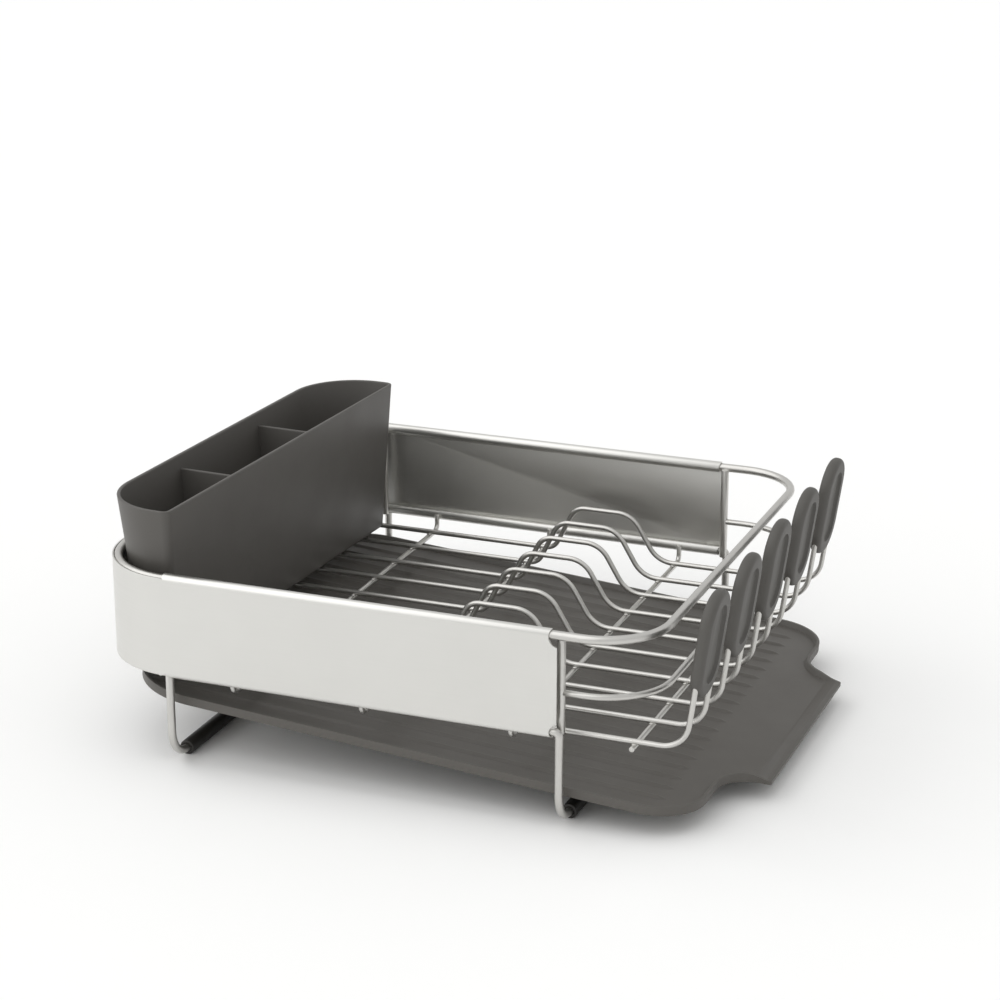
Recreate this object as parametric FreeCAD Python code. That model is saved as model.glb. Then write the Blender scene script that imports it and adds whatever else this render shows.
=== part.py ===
import FreeCAD, Part
import math
import os

# Dish drying rack: a steel-wire rack with a satin steel band round one end, a lift-out
# flatware caddy, rubber-gripped mug posts and a sloped drainboard that slides out below.
# Millimetres. +Z up, +X from the caddy end to the mug end, +Y from front to back.
# The origin is under the middle of the whole object, on the surface that it stands on.

V = FreeCAD.Vector

# Driving dimensions
rack_length = 348.0        # caddy end of the band to the outer side of the top rail
rack_depth = 322.0         # outer face to outer face of the band
rack_height = 119.5        # floor to the top of the rail
spout_reach = 46.4         # drainboard spout past the top rail
open_end = 53.5            # length of bare rail past the band

# Band
band_height = 63.8
band_thickness = 0.8
band_corner = 54.0         # plan radius of the two corners at the caddy end
band_edge_drop = 2.0       # the curved end's edges stop this far short of the rails' outer side
hem_gap = 0.1              # air between a rail and the hem rolled round it
hem_lip_angle = 55.0       # degrees that the hem's lip turns past level on the inner side
top_notch = 6.0            # radii of the round notches in the band's free corners, where
bottom_notch = 5.5         # the rails come out
notch_step = 1.0           # the notches' centres past the band's free ends

# Wires
top_wire = 5.2
bottom_wire = 5.2
mid_wire = 3.7
post_wire = 4.8
leg_wire = 4.8
floor_wire = 3.2
cross_wire = 3.2
weld_sink = 0.25           # how far two welded wires sink into each other

# Rails
rail_corner = 38.0         # plan radius of the rails at the mug end, on their centre line
mid_rail_below_top = 38.6  # top of the rack to the mid rail's centre line

# Legs
leg_bend = 17.0
leg_past_corner = 1.0      # end of the band's curve to the left leg frame
leg_past_band = 0.5        # band's free end to the right leg frame
post_short_of_band = 0.2   # right posts' middle to the band's free end
leg_tail_bend = 3.2        # bend of the right leg frame's ends, which turn into the hem
leg_tail = 14.0            # how far those ends run along the hem
sleeve_diameter = 9.0
sleeve_length = 62.0
sleeve_flat = 0.3          # depth of the flat that the sleeve rests on

# Floor wires, plate loops and mug posts
wire_pairs = 5
floor_wire_inset = 21.5    # outer face of the band to the outer floor wires
floor_below_band = 3.2     # band's lower edge to the floor wires' centre line
floor_wire_start = 24.0    # caddy end of the band to the floor wires' ends
loop_height = 30.0
loop_left_foot = 182.5     # caddy end of the band to the corners of a plate loop
loop_left_top = 197.0
loop_right_top = 236.0
loop_right_foot = 254.0
loop_left_foot_bend = 9.0
loop_left_top_bend = 11.0
loop_right_top_bend = 17.0
loop_right_foot_bend = 18.0
mug_post_reach = 13.5      # mug post's foot past the top rail's outer side
mug_post_lean = 8.0        # degrees outwards
mug_post_bend = 16.0
mug_post_height = 85.0     # floor wires to the top of the mug post's wire
mug_loop_flat = 1.0        # straight between the two bends at the top of a mug post

# Mug grips
grip_margin = 3.6          # rubber past the wire's centre line, all round
grip_bottom = 27.0         # floor wires to the bottom of the grip
grip_thickness = 7.4
grip_web = 3.4
grip_rim = 8.2             # width of the raised rim round the web
grip_clearance = 0.05

# Cross wires
cross_end_rise = 11.0
cross_bend = 5.0
cross_stub = 3.5           # free end of the last cross wire past the outer floor wire
cross_first_stub = 0.5     # and of the first
cross_first = 40.0         # caddy end of the band to the first cross wire
cross_second = 93.0
cross_third = 174.0
cross_fourth = 264.5
cross_last_inset = 15.5    # last cross wire inside the top rail's outer side

# Caddy
caddy_end_gap = 15.0       # outer face of the band to either end of the caddy
caddy_height = 98.5
caddy_rail_air = 0.9       # between the top rail and the caddy beside it
caddy_corner_inset = 13.0  # curved corners' radius at the rim, less than the band's
caddy_square_corner = 5.0  # plan radius where the flat wall meets the curved one
caddy_end_flat = 5.8       # straight between the two corners at either end
caddy_wall = 2.2
caddy_floor = 2.6
caddy_flat_draft = 3.5     # how far the flat wall's foot stands in from its rim
caddy_round_draft = 10.0
caddy_divider = 2.0
divider_drop = 8.0         # rim to the dividers' top
caddy_lift_gap = 0.3       # air between the floor wires and the caddy
caddy_turn = 2.7           # degrees: the loose caddy sits a little turned in the rack
caddy_forward = 2.0        # and this far towards the front
drain_slot_length = 22.0
drain_slot_width = 4.0
drain_slots = 3            # per compartment

# Drainboard
board_side_gap = 11.0      # outer face of the band to either side of the board
board_floor = 2.2
board_lip = 5.4            # lip's top above the underside
board_lip_wall = 3.0
board_left_inset = 11.0     # caddy end of the band to the board
board_left_corner = 50.0
board_right_corner = 32.0
spout_length = 26.0
spout_width = 158.0
spout_throat = 22.0        # radius of the hollow curve between board and spout
spout_tip_corner = 2.0
spout_lip_run = 16.0       # length over which the lip runs out at the tip
board_head_gap = 2.6       # air between the board's high end and the cross wires above it
board_under_tip = 10.2     # surface to the underside at the spout's tip
board_rib_height = 1.3
board_rib_width = 4.0
board_rib_pitch = 14.4
board_rib_margin = 16.0    # board's edge to the nearest rib
board_rib_end = 22.0       # spout side of the board to the ribs' ends
runner_thickness = 3.0
runner_spread = 92.0       # between the two runners' middles
runner_gap = 0.3           # runner above the leg frame's floor rod
runner_overhang = 12.0     # runner past each floor rod

# Derived places
half_depth = rack_depth / 2
left = -(rack_length + spout_reach) / 2
rail_right = left + rack_length
tip_x = rail_right + spout_reach
band_right = rail_right - open_end
band_bottom = rack_height - band_height
top_r = top_wire / 2
bottom_r = bottom_wire / 2
top_hem_r = top_r + hem_gap + band_thickness
bottom_hem_r = bottom_r + hem_gap + band_thickness
top_z = rack_height - top_hem_r
top_y = half_depth - top_hem_r
bottom_z = band_bottom + bottom_hem_r
bottom_y = half_depth - bottom_hem_r
left_leg_x = left + band_corner + leg_past_corner
right_leg_x = band_right + leg_past_band
post_r = post_wire / 2
right_post_x = band_right - post_short_of_band
right_post_y = bottom_y - bottom_r - post_r + weld_sink
left_post_y = half_depth - 2 * bottom_hem_r - post_r + weld_sink
mid_r = mid_wire / 2
mid_y = right_post_y
mid_z = rack_height - mid_rail_below_top
floor_z = band_bottom - floor_below_band
floor_r = floor_wire / 2
cross_r = cross_wire / 2
cross_z = floor_z - floor_r - cross_r + weld_sink
rod_z = sleeve_diameter / 2 - sleeve_flat
leg_r = leg_wire / 2
leg_y = bottom_y
wire_pitch = (rack_depth - 2 * floor_wire_inset) / (2 * wire_pairs - 1)
mug_loop_bend = (wire_pitch - mug_loop_flat) / 2
caddy_base = floor_z + floor_r + caddy_lift_gap
caddy_length = rack_depth - 2 * caddy_end_gap
caddy_corner = band_corner - caddy_corner_inset
caddy_width = caddy_corner + caddy_end_flat + caddy_square_corner
caddy_swing = (caddy_length / 2 - caddy_corner) * math.sin(math.radians(caddy_turn))
caddy_draft_at_rail = caddy_round_draft * (caddy_base + caddy_height - top_z) / caddy_height
caddy_gap = top_hem_r + top_r + caddy_rail_air + caddy_swing - caddy_draft_at_rail
board_width = rack_depth - 2 * board_side_gap
board_left = left + board_left_inset
board_head_under = cross_z - cross_r - board_head_gap - board_lip
board_slope = (board_head_under - board_under_tip) / (tip_x - board_left)


def fillet_path(points, radii, closed=False):
    """Wire of straight runs joined by tangent arcs, one radius for each point."""
    count = len(points)
    edges = []
    ends = []
    for i in range(count):
        here = points[i]
        radius = radii[i]
        if radius == 0 or (not closed and i in (0, count - 1)):
            ends.append((here, here, None))
            continue
        to_last = (points[i - 1] - here).normalize()
        to_next = (points[(i + 1) % count] - here).normalize()
        half = to_last.getAngle(to_next) / 2
        reach = radius / math.tan(half)
        middle = (to_last + to_next).normalize()
        centre = here + middle * (radius / math.sin(half))
        ends.append((here + to_last * reach, here + to_next * reach, centre - middle * radius))
    for i in range(count):
        start, stop, through = ends[i]
        if through is not None:
            edges.append(Part.Arc(start, through, stop).toShape())
        if i < count - 1 or closed:
            following = ends[(i + 1) % count][0]
            if stop.distanceToPoint(following) > 1e-4:
                edges.append(Part.LineSegment(stop, following).toShape())
    return Part.Wire(edges)


def sweep_round(path, radius):
    """Solid round bar along a path."""
    first = path.OrderedEdges[0]
    start = first.valueAt(first.FirstParameter)
    along = first.tangentAt(first.FirstParameter)
    ring = Part.Wire([Part.Circle(start, along, radius).toShape()])
    return path.makePipeShell([ring], True, False)


def round_wire(points, bend, diameter, closed=False):
    """Bent wire: one bend radius for all corners, or a list of them."""
    radii = bend if isinstance(bend, list) else [bend] * len(points)
    return sweep_round(fillet_path(points, radii, closed), diameter / 2)


def box(x0, x1, y0, y1, z0, z1):
    return Part.makeBox(x1 - x0, y1 - y0, z1 - z0, V(x0, y0, z0))


def mirrored_y(shape):
    return shape.mirror(V(0, 0, 0), V(0, 1, 0))


def save(name, shape):
    """Write one node as a clean solid."""
    solids = shape.Solids
    result = solids[0] if len(solids) == 1 else Part.makeCompound(solids)
    if not result.isValid():
        result.fix(0.01, 0.01, 0.01)
    result.exportStep("parts/" + name + ".step")
    print(name, len(solids), round(result.Volume, 1), result.isValid())


# Band

def band_plan(inset, right):
    """Open-ended U of the band, seen from above, inset from its outer face."""
    reach = half_depth - inset
    corner = band_corner - inset
    points = [
        V(right, -reach, 0),
        V(left + inset, -reach, 0),
        V(left + inset, reach, 0),
        V(right, reach, 0),
    ]
    return fillet_path(points, [0, corner, corner, 0])


def band_wall(low, high):
    """Upright sheet following the U."""
    outer = band_plan(0, band_right)
    inner = band_plan(band_thickness, band_right)
    outer_ends = [V(band_right, -half_depth, 0), V(band_right, half_depth, 0)]
    step = band_thickness
    caps = [
        Part.makeLine(outer_ends[0], outer_ends[0] + V(0, step, 0)),
        Part.makeLine(outer_ends[1], outer_ends[1] - V(0, step, 0)),
    ]
    edges = outer.Edges + inner.Edges + caps
    face = Part.Face(Part.Wire(Part.__sortEdges__(edges)))
    wall = face.extrude(V(0, 0, high - low))
    wall.translate(V(0, 0, low))
    return wall


def hem(centre_y, centre_z, outer_r, start_angle, stop_angle):
    """Rolled hem of the front run; angles in degrees in the Y-Z plane, from +Y."""
    inner_r = outer_r - band_thickness

    def at(radius, angle):
        turn = math.radians(angle)
        return V(left + band_corner, centre_y + radius * math.cos(turn), centre_z + radius * math.sin(turn))

    middle = (start_angle + stop_angle) / 2
    edges = [
        Part.Arc(at(outer_r, start_angle), at(outer_r, middle), at(outer_r, stop_angle)).toShape(),
        Part.makeLine(at(outer_r, stop_angle), at(inner_r, stop_angle)),
        Part.Arc(at(inner_r, stop_angle), at(inner_r, middle), at(inner_r, start_angle)).toShape(),
        Part.makeLine(at(inner_r, start_angle), at(outer_r, start_angle)),
    ]
    face = Part.Face(Part.Wire(edges))
    return face.extrude(V(band_right - left - band_corner, 0, 0))


def steel_band():
    wall = band_wall(bottom_z, top_z)
    curved_low = band_bottom + band_edge_drop
    curved_high = rack_height - band_edge_drop
    end_wall = band_wall(curved_low, curved_high)
    end_zone = box(left - 1, left + band_corner, -half_depth - 1, half_depth + 1, 0, rack_height + 1)
    top_front = hem(-top_y, top_z, top_hem_r, -hem_lip_angle, 180)
    bottom_front = hem(-bottom_y, bottom_z, bottom_hem_r, 180, 360 + hem_lip_angle)
    band = wall.fuse([
        end_wall.common(end_zone),
        top_front,
        bottom_front,
        mirrored_y(top_front),
        mirrored_y(bottom_front),
    ])
    for corner_z, radius in ((top_z, top_notch), (bottom_z, bottom_notch)):
        start = V(band_right + notch_step, -half_depth - 1, corner_z)
        notch = Part.makeCylinder(radius, rack_depth + 2, start, V(0, 1, 0))
        band = band.cut(notch)
    return band.removeSplitter()


# Rails, posts and legs

def top_rail():
    inset = top_hem_r
    right = rail_right - top_r
    caddy_end_corner = band_corner - inset
    points = [
        V(left + inset, -top_y, top_z),
        V(right, -top_y, top_z),
        V(right, top_y, top_z),
        V(left + inset, top_y, top_z),
    ]
    radii = [caddy_end_corner, rail_corner, rail_corner, caddy_end_corner]
    middle = V(0, -top_y, top_z)
    loop = fillet_path([middle] + points[1:] + points[:1] + [middle], [0] + radii[1:] + radii[:1] + [0])
    return sweep_round(loop, top_r)


def bottom_rail():
    inset = bottom_hem_r
    right = right_leg_x - leg_tail + weld_sink
    points = [
        V(right, -bottom_y, bottom_z),
        V(left + inset, -bottom_y, bottom_z),
        V(left + inset, bottom_y, bottom_z),
        V(right, bottom_y, bottom_z),
    ]
    return round_wire(points, band_corner - inset, bottom_wire)


def mid_rail():
    start = right_post_x + post_r - weld_sink
    right = rail_right - top_r
    points = [
        V(start, -mid_y, mid_z),
        V(right, -mid_y, mid_z),
        V(right, mid_y, mid_z),
        V(start, mid_y, mid_z),
    ]
    return round_wire(points, rail_corner, mid_wire)


def rail_post(x, y):
    """Short upright beside a leg, from the bottom rail to the top rail."""
    low = bottom_z - bottom_r
    return Part.makeCylinder(post_r, top_z - low, V(x, y, low))


def leg_frame_left():
    """U of wire whose two ends are coped to fit under the bottom hem."""
    x = left_leg_x
    points = [
        V(x, -leg_y, bottom_z),
        V(x, -leg_y, rod_z),
        V(x, leg_y, rod_z),
        V(x, leg_y, bottom_z),
    ]
    frame = round_wire(points, leg_bend, leg_wire)
    for side in (-1, 1):
        start = V(x - leg_wire, side * leg_y, bottom_z)
        hem_space = Part.makeCylinder(bottom_hem_r - weld_sink, 2 * leg_wire, start, V(1, 0, 0))
        frame = frame.cut(hem_space)
    return frame


def leg_frame_right():
    """U of wire whose two ends turn into the bottom hem, where they meet the bottom rail."""
    x = right_leg_x
    points = [
        V(x - leg_tail, -leg_y, bottom_z),
        V(x, -leg_y, bottom_z),
        V(x, -leg_y, rod_z),
        V(x, leg_y, rod_z),
        V(x, leg_y, bottom_z),
        V(x - leg_tail, leg_y, bottom_z),
    ]
    return round_wire(points, [0, leg_tail_bend, leg_bend, leg_bend, leg_tail_bend, 0], leg_wire)


def foot_sleeve(x, side):
    """Rubber tube on the straight of a floor rod, with a flat to rest on."""
    start = V(x, side * (leg_y - leg_bend), rod_z)
    inwards = V(0, -side, 0)
    tube = Part.makeCylinder(sleeve_diameter / 2, sleeve_length, start, inwards)
    bore = Part.makeCylinder(leg_r, sleeve_length, start, inwards)
    low = box(x - sleeve_diameter, x + sleeve_diameter, -half_depth, half_depth, -sleeve_diameter, 0)
    return tube.cut(bore).cut(low)


# Floor wires, plate loops and mug posts

def pair_middle(number):
    """Y of the middle of a pair of floor wires, counted from the front."""
    return (number - (wire_pairs - 1) / 2) * 2 * wire_pitch


def mug_post_foot():
    return V(rail_right + mug_post_reach, 0, floor_z)


def along_post(height):
    """Point on the mug posts' leaning plane, at a height above the floor wires."""
    return mug_post_foot() + V(height * math.tan(math.radians(mug_post_lean)), 0, height)


def wire_points(y):
    """One floor wire from its end under the caddy to the top of its mug post."""
    top = floor_z + loop_height
    outline = [
        V(left + floor_wire_start, 0, floor_z),
        V(left + loop_left_foot, 0, floor_z),
        V(left + loop_left_top, 0, top),
        V(left + loop_right_top, 0, top),
        V(left + loop_right_foot, 0, floor_z),
        mug_post_foot(),
        along_post(mug_post_height),
    ]
    return [point + V(0, y, 0) for point in outline]


def wire_radii():
    return [
        0,
        loop_left_foot_bend,
        loop_left_top_bend,
        loop_right_top_bend,
        loop_right_foot_bend,
        mug_post_bend,
        mug_loop_bend,
    ]


def hairpin_path(middle):
    front = wire_points(middle - wire_pitch / 2)
    back = wire_points(middle + wire_pitch / 2)
    return fillet_path(front + back[::-1], wire_radii() + wire_radii()[::-1])


def hairpin(number):
    return sweep_round(hairpin_path(pair_middle(number)), floor_r)


def pill(width, bottom, top, depth):
    """Upright plate with round ends, standing in the mug posts' leaning plane."""
    radius = width / 2
    points = [
        V(-depth / 2, -radius, bottom),
        V(-depth / 2, radius, bottom),
        V(-depth / 2, radius, top),
        V(-depth / 2, -radius, top),
    ]
    outline = fillet_path(points, [radius - 0.2] * 4, True)
    return Part.Face(outline).extrude(V(depth, 0, 0))


def mug_grip(number):
    width = wire_pitch + 2 * grip_margin
    slope = math.cos(math.radians(mug_post_lean))
    bottom = grip_bottom / slope
    top = mug_post_height / slope + grip_margin
    body = pill(width, bottom, top, grip_thickness)
    body = body.makeFillet(grip_thickness / 2 - 0.3, body.Edges)
    pocket_width = width - 2 * grip_rim
    pocket_depth = (grip_thickness - grip_web) / 2
    for side in (-1, 1):
        pocket = pill(pocket_width, bottom + grip_rim, top - grip_rim, pocket_depth)
        pocket.translate(V(side * (grip_thickness - pocket_depth) / 2, 0, 0))
        body = body.cut(pocket)
    body.rotate(V(0, 0, 0), V(0, 1, 0), mug_post_lean)
    body.translate(mug_post_foot() + V(0, pair_middle(number), 0))
    channel = sweep_round(hairpin_path(pair_middle(number)), floor_r + grip_clearance)
    return body.cut(channel)


# Cross wires

def cross_wire_hooked(x):
    """Cross wire whose ends turn up against the bottom hem."""
    end_y = half_depth - 2 * bottom_hem_r - cross_r + weld_sink
    top = cross_z + cross_end_rise
    points = [V(x, -end_y, top), V(x, -end_y, cross_z), V(x, end_y, cross_z), V(x, end_y, top)]
    return round_wire(points, cross_bend, cross_wire)


def cross_wire_straight(x, stub):
    end_y = wire_pitch * (wire_pairs - 0.5) + floor_r + stub
    return Part.makeCylinder(cross_r, 2 * end_y, V(x, -end_y, cross_z), V(0, 1, 0))


# Caddy

def caddy_outline(z, inset, round_draft, flat_draft):
    """D of the caddy seen from above: curved wall at the left, flat wall at the right."""
    x0 = left + caddy_gap + inset + round_draft
    x1 = left + caddy_gap + caddy_width - inset - flat_draft
    half = caddy_length / 2 - inset - round_draft
    small = caddy_square_corner - inset
    big = x1 - x0 - small - caddy_end_flat
    points = [V(x0, -half, z), V(x1, -half, z), V(x1, half, z), V(x0, half, z)]
    return fillet_path(points, [big, small, small, big], True)


def caddy_block(inset, low, high):
    """Tapering solid between two heights, inset from the caddy's outside."""
    wires = []
    for z in (low, high):
        drop = 1 - (z - caddy_base) / caddy_height
        wires.append(caddy_outline(z, inset, caddy_round_draft * drop, caddy_flat_draft * drop))
    return Part.makeLoft(wires, True, True)


def caddy_place(shape):
    """Turn and shift the loose caddy as it sits in the rack."""
    middle = V(left + caddy_gap + caddy_width / 2, 0, 0)
    shape.rotate(middle, V(0, 0, 1), -caddy_turn)
    shape.translate(V(0, -caddy_forward, 0))
    return shape


def caddy_body():
    base = caddy_base
    rim = base + caddy_height
    shell = caddy_block(0, base, rim)
    shell = shell.cut(caddy_block(caddy_wall, base + caddy_floor, rim))
    x0 = left + caddy_gap
    x1 = x0 + caddy_width
    third = caddy_length / 3
    inside = caddy_block(caddy_wall / 2, base + caddy_floor / 2, rim - divider_drop)
    for side in (-1, 1):
        y = side * third / 2
        wall = box(x0, x1, y - caddy_divider / 2, y + caddy_divider / 2, base, rim)
        shell = shell.fuse(wall.common(inside))
    slot_x = x0 + (caddy_width + caddy_round_draft - caddy_flat_draft) / 2
    for compartment in (-1, 0, 1):
        for slot in range(drain_slots):
            y = compartment * third + (slot - (drain_slots - 1) / 2) * third / (drain_slots + 1)
            shell = shell.cut(drain_slot(slot_x, y, base))
    return caddy_place(shell.removeSplitter())


def drain_slot(x, y, base):
    half_width = drain_slot_width / 2
    half_run = drain_slot_length / 2
    points = [
        V(x - half_run, y - half_width, base - 1),
        V(x + half_run, y - half_width, base - 1),
        V(x + half_run, y + half_width, base - 1),
        V(x - half_run, y + half_width, base - 1),
    ]
    outline = fillet_path(points, [half_width - 0.1] * 4, True)
    return Part.Face(outline).extrude(V(0, 0, caddy_floor + 2))


# Drainboard

def board_outline(inset, tip):
    """Outline of the board, level, before it is tilted."""
    x0 = board_left + inset
    x1 = tip_x - spout_length - inset
    half = board_width / 2 - inset
    spout = spout_width / 2 - inset
    points = [
        V(x0, -half, 0), V(x1, -half, 0), V(x1, -spout, 0), V(tip, -spout, 0),
        V(tip, spout, 0), V(x1, spout, 0), V(x1, half, 0), V(x0, half, 0),
    ]
    left_r = board_left_corner - inset
    right_r = board_right_corner - inset
    throat = spout_throat + inset
    radii = [left_r, right_r, throat, spout_tip_corner, spout_tip_corner, throat, right_r, left_r]
    return Part.Face(fillet_path(points, radii, True))


def board_under(x):
    """Height of the board's underside."""
    return board_under_tip + (tip_x - x) * board_slope


def runner(side):
    """Upright rib under the board that rests on the two floor rods and sets the slope."""
    x0 = left_leg_x - runner_overhang
    x1 = right_leg_x + runner_overhang
    low = rod_z + leg_r + runner_gap
    y = side * runner_spread / 2 - runner_thickness / 2
    root = board_floor / 2
    points = [
        V(x0, y, low),
        V(x1, y, low),
        V(x1, y, board_under(x1) + root),
        V(x0, y, board_under(x0) + root),
        V(x0, y, low),
    ]
    return Part.Face(Part.makePolygon(points)).extrude(V(0, runner_thickness, 0))


def drainboard():
    body = board_outline(0, tip_x).extrude(V(0, 0, board_lip))
    pocket = board_outline(board_lip_wall, tip_x + 5).extrude(V(0, 0, board_lip))
    pocket.translate(V(0, 0, board_floor))
    body = body.cut(pocket)
    ramp = Part.makePolygon([
        V(tip_x - spout_lip_run, -board_width, board_lip),
        V(tip_x, -board_width, board_floor),
        V(tip_x + 1, -board_width, board_lip + 1),
        V(tip_x - spout_lip_run, -board_width, board_lip),
    ])
    body = body.cut(Part.Face(ramp).extrude(V(0, 2 * board_width, 0)))
    rib_left = board_left + board_rib_margin
    rib_right = tip_x - spout_length - board_rib_end
    room = board_width / 2 - board_rib_margin
    half_count = int(room / board_rib_pitch)
    for number in range(-half_count, half_count + 1):
        y = number * board_rib_pitch
        half_rib = board_rib_width / 2
        top = board_floor + board_rib_height
        body = body.fuse(box(rib_left, rib_right, y - half_rib, y + half_rib, board_floor / 2, top))
    tilt = math.degrees(math.atan(board_slope))
    body.rotate(V(tip_x, 0, board_floor), V(0, 1, 0), tilt)
    body.translate(V(0, 0, board_under_tip))
    body = body.fuse([runner(-1), runner(1)])
    return body.removeSplitter()


def main():
    os.makedirs("parts", exist_ok=True)
    save("steel_band", steel_band())
    save("top_rail", top_rail())
    save("mid_rail", mid_rail())
    save("bottom_rail", bottom_rail())
    save("leg_frame_left", leg_frame_left())
    save("leg_frame_right", leg_frame_right())
    for face, side in (("front", -1), ("rear", 1)):
        save("rail_post_left_" + face, rail_post(left_leg_x, side * left_post_y))
        save("rail_post_right_" + face, rail_post(right_post_x, side * right_post_y))
        save("foot_sleeve_left_" + face, foot_sleeve(left_leg_x, side))
        save("foot_sleeve_right_" + face, foot_sleeve(right_leg_x, side))
    for number in range(wire_pairs):
        save("plate_wire_" + str(number + 1), hairpin(number))
        save("mug_grip_" + str(number + 1), mug_grip(number))
    save("cross_wire_1", cross_wire_straight(left + cross_first, cross_first_stub))
    save("cross_wire_2", cross_wire_hooked(left + cross_second))
    save("cross_wire_3", cross_wire_hooked(left + cross_third))
    save("cross_wire_4", cross_wire_hooked(left + cross_fourth))
    save("cross_wire_5", cross_wire_straight(rail_right - cross_last_inset, cross_stub))
    save("flatware_caddy", caddy_body())
    save("drainboard", drainboard())


main()
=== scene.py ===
import math
import bmesh
import bpy
from mathutils import Matrix, Vector


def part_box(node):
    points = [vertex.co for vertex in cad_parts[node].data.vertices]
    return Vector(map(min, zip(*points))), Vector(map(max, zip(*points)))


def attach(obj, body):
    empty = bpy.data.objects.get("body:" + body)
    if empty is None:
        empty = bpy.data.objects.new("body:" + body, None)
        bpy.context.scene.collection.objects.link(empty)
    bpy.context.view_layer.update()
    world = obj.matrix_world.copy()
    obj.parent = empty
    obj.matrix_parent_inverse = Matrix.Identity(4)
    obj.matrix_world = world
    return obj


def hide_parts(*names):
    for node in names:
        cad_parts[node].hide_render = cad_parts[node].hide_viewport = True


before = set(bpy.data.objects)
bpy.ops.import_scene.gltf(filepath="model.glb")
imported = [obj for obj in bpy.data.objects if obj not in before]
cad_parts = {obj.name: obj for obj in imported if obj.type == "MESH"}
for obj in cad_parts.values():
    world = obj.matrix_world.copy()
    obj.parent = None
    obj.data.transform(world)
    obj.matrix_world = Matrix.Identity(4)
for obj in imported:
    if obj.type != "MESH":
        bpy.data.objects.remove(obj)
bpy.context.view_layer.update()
print("frame loaded")

# Dish drying rack. Metres, +Z up; sizes in the dictionaries are millimetres.


def mm(value):
    return value / 1000


# camera, light and table top

cameraLook = {
    "place": (0.5537, -1.4095, 0.6443),
    "azimuth": 21.4,  # degrees round from straight ahead
    "elevation": 18.7,
    "lens": 95.4,
    "sensor": 36.0,
    "farthest": 60.0,
}

studioLook = {
    "skyColour": (1.0, 1.0, 0.995),
    "skyStrength": 0.78,
    "tableColour": (0.95, 0.95, 0.945),
    "tableWidth": 14.0,
    "tableRough": 0.75,
    # name: where it shines from, power, softness in degrees
    "suns": {
        "keySun": ((-1.5, -1.0, 1.7), 1.25, 85.0),
        "topSun": ((0.3, 0.4, 2.0), 0.08, 90.0),
    },
}


def makeCamera():
    data = bpy.data.cameras.new("viewCamera")
    data.lens = cameraLook["lens"]
    data.sensor_width = cameraLook["sensor"]
    data.clip_end = cameraLook["farthest"]
    camera = bpy.data.objects.new("viewCamera", data)
    bpy.context.scene.collection.objects.link(camera)
    camera.location = cameraLook["place"]
    lean = math.radians(90 - cameraLook["elevation"])
    camera.rotation_euler = (lean, 0, math.radians(cameraLook["azimuth"]))
    bpy.context.scene.camera = camera


def makeStudio():
    world = bpy.data.worlds.new("softSky")
    world.use_nodes = True
    sky = world.node_tree.nodes["Background"]
    sky.inputs["Color"].default_value = (*studioLook["skyColour"], 1)
    sky.inputs["Strength"].default_value = studioLook["skyStrength"]
    bpy.context.scene.world = world
    for name, (place, power, softness) in studioLook["suns"].items():
        light = bpy.data.lights.new(name, "SUN")
        light.energy = power
        light.angle = math.radians(softness)
        lamp = bpy.data.objects.new(name, light)
        bpy.context.scene.collection.objects.link(lamp)
        lamp.location = place
        lamp.rotation_euler = (-Vector(place)).to_track_quat("-Z", "Y").to_euler()
    shape = bmesh.new()
    bmesh.ops.create_grid(shape, x_segments=1, y_segments=1, size=studioLook["tableWidth"] / 2)
    mesh = bpy.data.meshes.new("tableTop")
    shape.to_mesh(mesh)
    shape.free()
    table = bpy.data.objects.new("tableTop", mesh)
    bpy.context.scene.collection.objects.link(table)
    finish = bpy.data.materials.new("paleTable")
    finish.use_nodes = True
    shader = finish.node_tree.nodes["Principled BSDF"]
    shader.inputs["Base Color"].default_value = (*studioLook["tableColour"], 1)
    shader.inputs["Roughness"].default_value = studioLook["tableRough"]
    mesh.materials.append(finish)
    bpy.context.scene.view_settings.view_transform = "Standard"


makeCamera()
makeStudio()
print("camera and light set")


# finishes: fine grain gives the bump, a wider cloud makes it uneven

sheetFinish = {
    "colour": (0.69, 0.685, 0.66),
    "colourSpread": 0.03,
    "rough": (0.34, 0.44),
    "grain": 1500,
    "grainDetail": 4.0,
    "grainStretch": (0.012, 0.012, 1),  # brushed along the sheet
    "cloud": 22,
    "cloudDetail": 3.0,
    "bump": 0.05,
    "bumpHeight": 0.05,
}

wireFinish = {
    "colour": (0.585, 0.576, 0.552),
    "colourSpread": 0.06,
    "rough": (0.30, 0.42),
    "grain": 900,
    "grainDetail": 4.0,
    "grainStretch": (1, 1, 1),
    "cloud": 60,
    "cloudDetail": 3.0,
    "bump": 0.04,
    "bumpHeight": 0.05,
}

# what the moulded parts share, then each one's own
mouldedLook = {
    "colourSpread": 0.07,
    "grainDetail": 2.0,
    "grainStretch": (1, 1, 1),
    "cloud": 35,
    "cloudDetail": 4.0,
    "bumpHeight": 0.12,
}

caddyFinish = {
    **mouldedLook,
    "colour": (0.082, 0.077, 0.070),
    "rough": (0.42, 0.51),
    "grain": 2600,
    "bump": 0.10,
}

boardFinish = {
    **mouldedLook,
    "colour": (0.090, 0.084, 0.075),
    "rough": (0.46, 0.55),
    "grain": 2200,
    "bump": 0.10,
}

gripFinish = {
    **mouldedLook,
    "colour": (0.080, 0.076, 0.069),
    "rough": (0.54, 0.63),
    "grain": 1900,
    "bump": 0.08,
}

footFinish = {
    **mouldedLook,
    "colour": (0.016, 0.015, 0.013),
    "rough": (0.46, 0.55),
    "grain": 1500,
    "bump": 0.08,
}

noiseReach = (0.3, 0.7)  # where nearly all of a noise's values lie


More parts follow.
